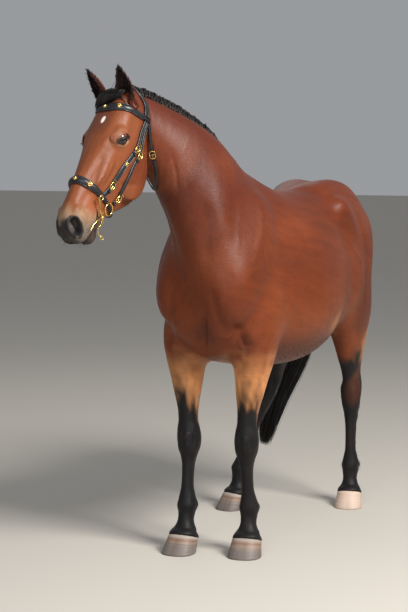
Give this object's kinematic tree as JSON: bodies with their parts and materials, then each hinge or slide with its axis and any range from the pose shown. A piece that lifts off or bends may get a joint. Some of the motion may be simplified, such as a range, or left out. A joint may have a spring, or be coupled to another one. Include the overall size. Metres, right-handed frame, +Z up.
{
  "type": "bay horse in a double bridle",
  "caption": "Life-size standing bay horse with black mane, tail and lower legs, head turned slightly, wearing a double bridle without reins.",
  "frame": {"origin": "on the ground under the middle of the bounding box", "axes": "+X forward out of the chest, +Y to the animal's left, +Z up"},
  "size_m": [2.389, 0.8083, 2.146],
  "materials": {
    "bay_coat": "short glossy reddish-brown coat",
    "black_coat": "short black coat of the lower legs",
    "long_hair": "long black hair in locks",
    "hoof": "grey-brown horn with growth rings",
    "eye": "wet dark brown eye",
    "leather": "polished black bridle leather",
    "brass": "polished brass"
  },
  "bodies": {
    "root": {"barrel": "bay_coat", "bradoon_ring_left": "brass", "bradoon_ring_right": "brass", "browband": "leather", "browband_stud_left": "brass", "browband_stud_middle": "brass", "buckle_front_lower_left": "brass", "buckle_front_lower_right": "brass", "buckle_front_upper_left": "brass", "buckle_front_upper_right": "brass", "buckle_rear_lower_left": "brass", "buckle_rear_lower_right": "brass", "buckle_rear_upper_left": "brass", "buckle_rear_upper_right": "brass", "buckle_throatlatch_left": "brass", "buckle_throatlatch_right": "brass", "cheek_strap_front_left": "leather", "cheek_strap_front_right": "leather", "cheek_strap_rear_left": "leather", "cheek_strap_rear_right": "leather", "crownpiece": "leather", "curb_chain": "brass", "curb_shank_left": "brass", "curb_shank_right": "brass", "ear_left": "bay_coat", "ear_right": "bay_coat", "eye_left": "eye", "eye_right": "eye", "fore_left_cannon": "black_coat", "fore_left_forearm": "bay_coat", "fore_left_hoof": "hoof", "fore_left_knee": "black_coat", "fore_left_pastern": "black_coat", "fore_right_cannon": "black_coat", "fore_right_forearm": "bay_coat", "fore_right_hoof": "hoof", "fore_right_knee": "black_coat", "fore_right_pastern": "black_coat", "forelock": "long_hair", "head": "bay_coat", "hind_left_cannon": "black_coat", "hind_left_gaskin": "bay_coat", "hind_left_hock": "black_coat", "hind_left_hoof": "hoof", "hind_left_pastern": "black_coat", "hind_right_cannon": "black_coat", "hind_right_gaskin": "bay_coat", "hind_right_hock": "black_coat", "hind_right_hoof": "hoof", "hind_right_pastern": "black_coat", "hindquarters": "bay_coat", "mane": "long_hair", "neck": "bay_coat", "noseband": "leather", "noseband_stud_front": "brass", "noseband_stud_left": "brass", "shoulders": "bay_coat", "tail": "long_hair", "throatlatch": "leather"}
  },
  "joints": []
}
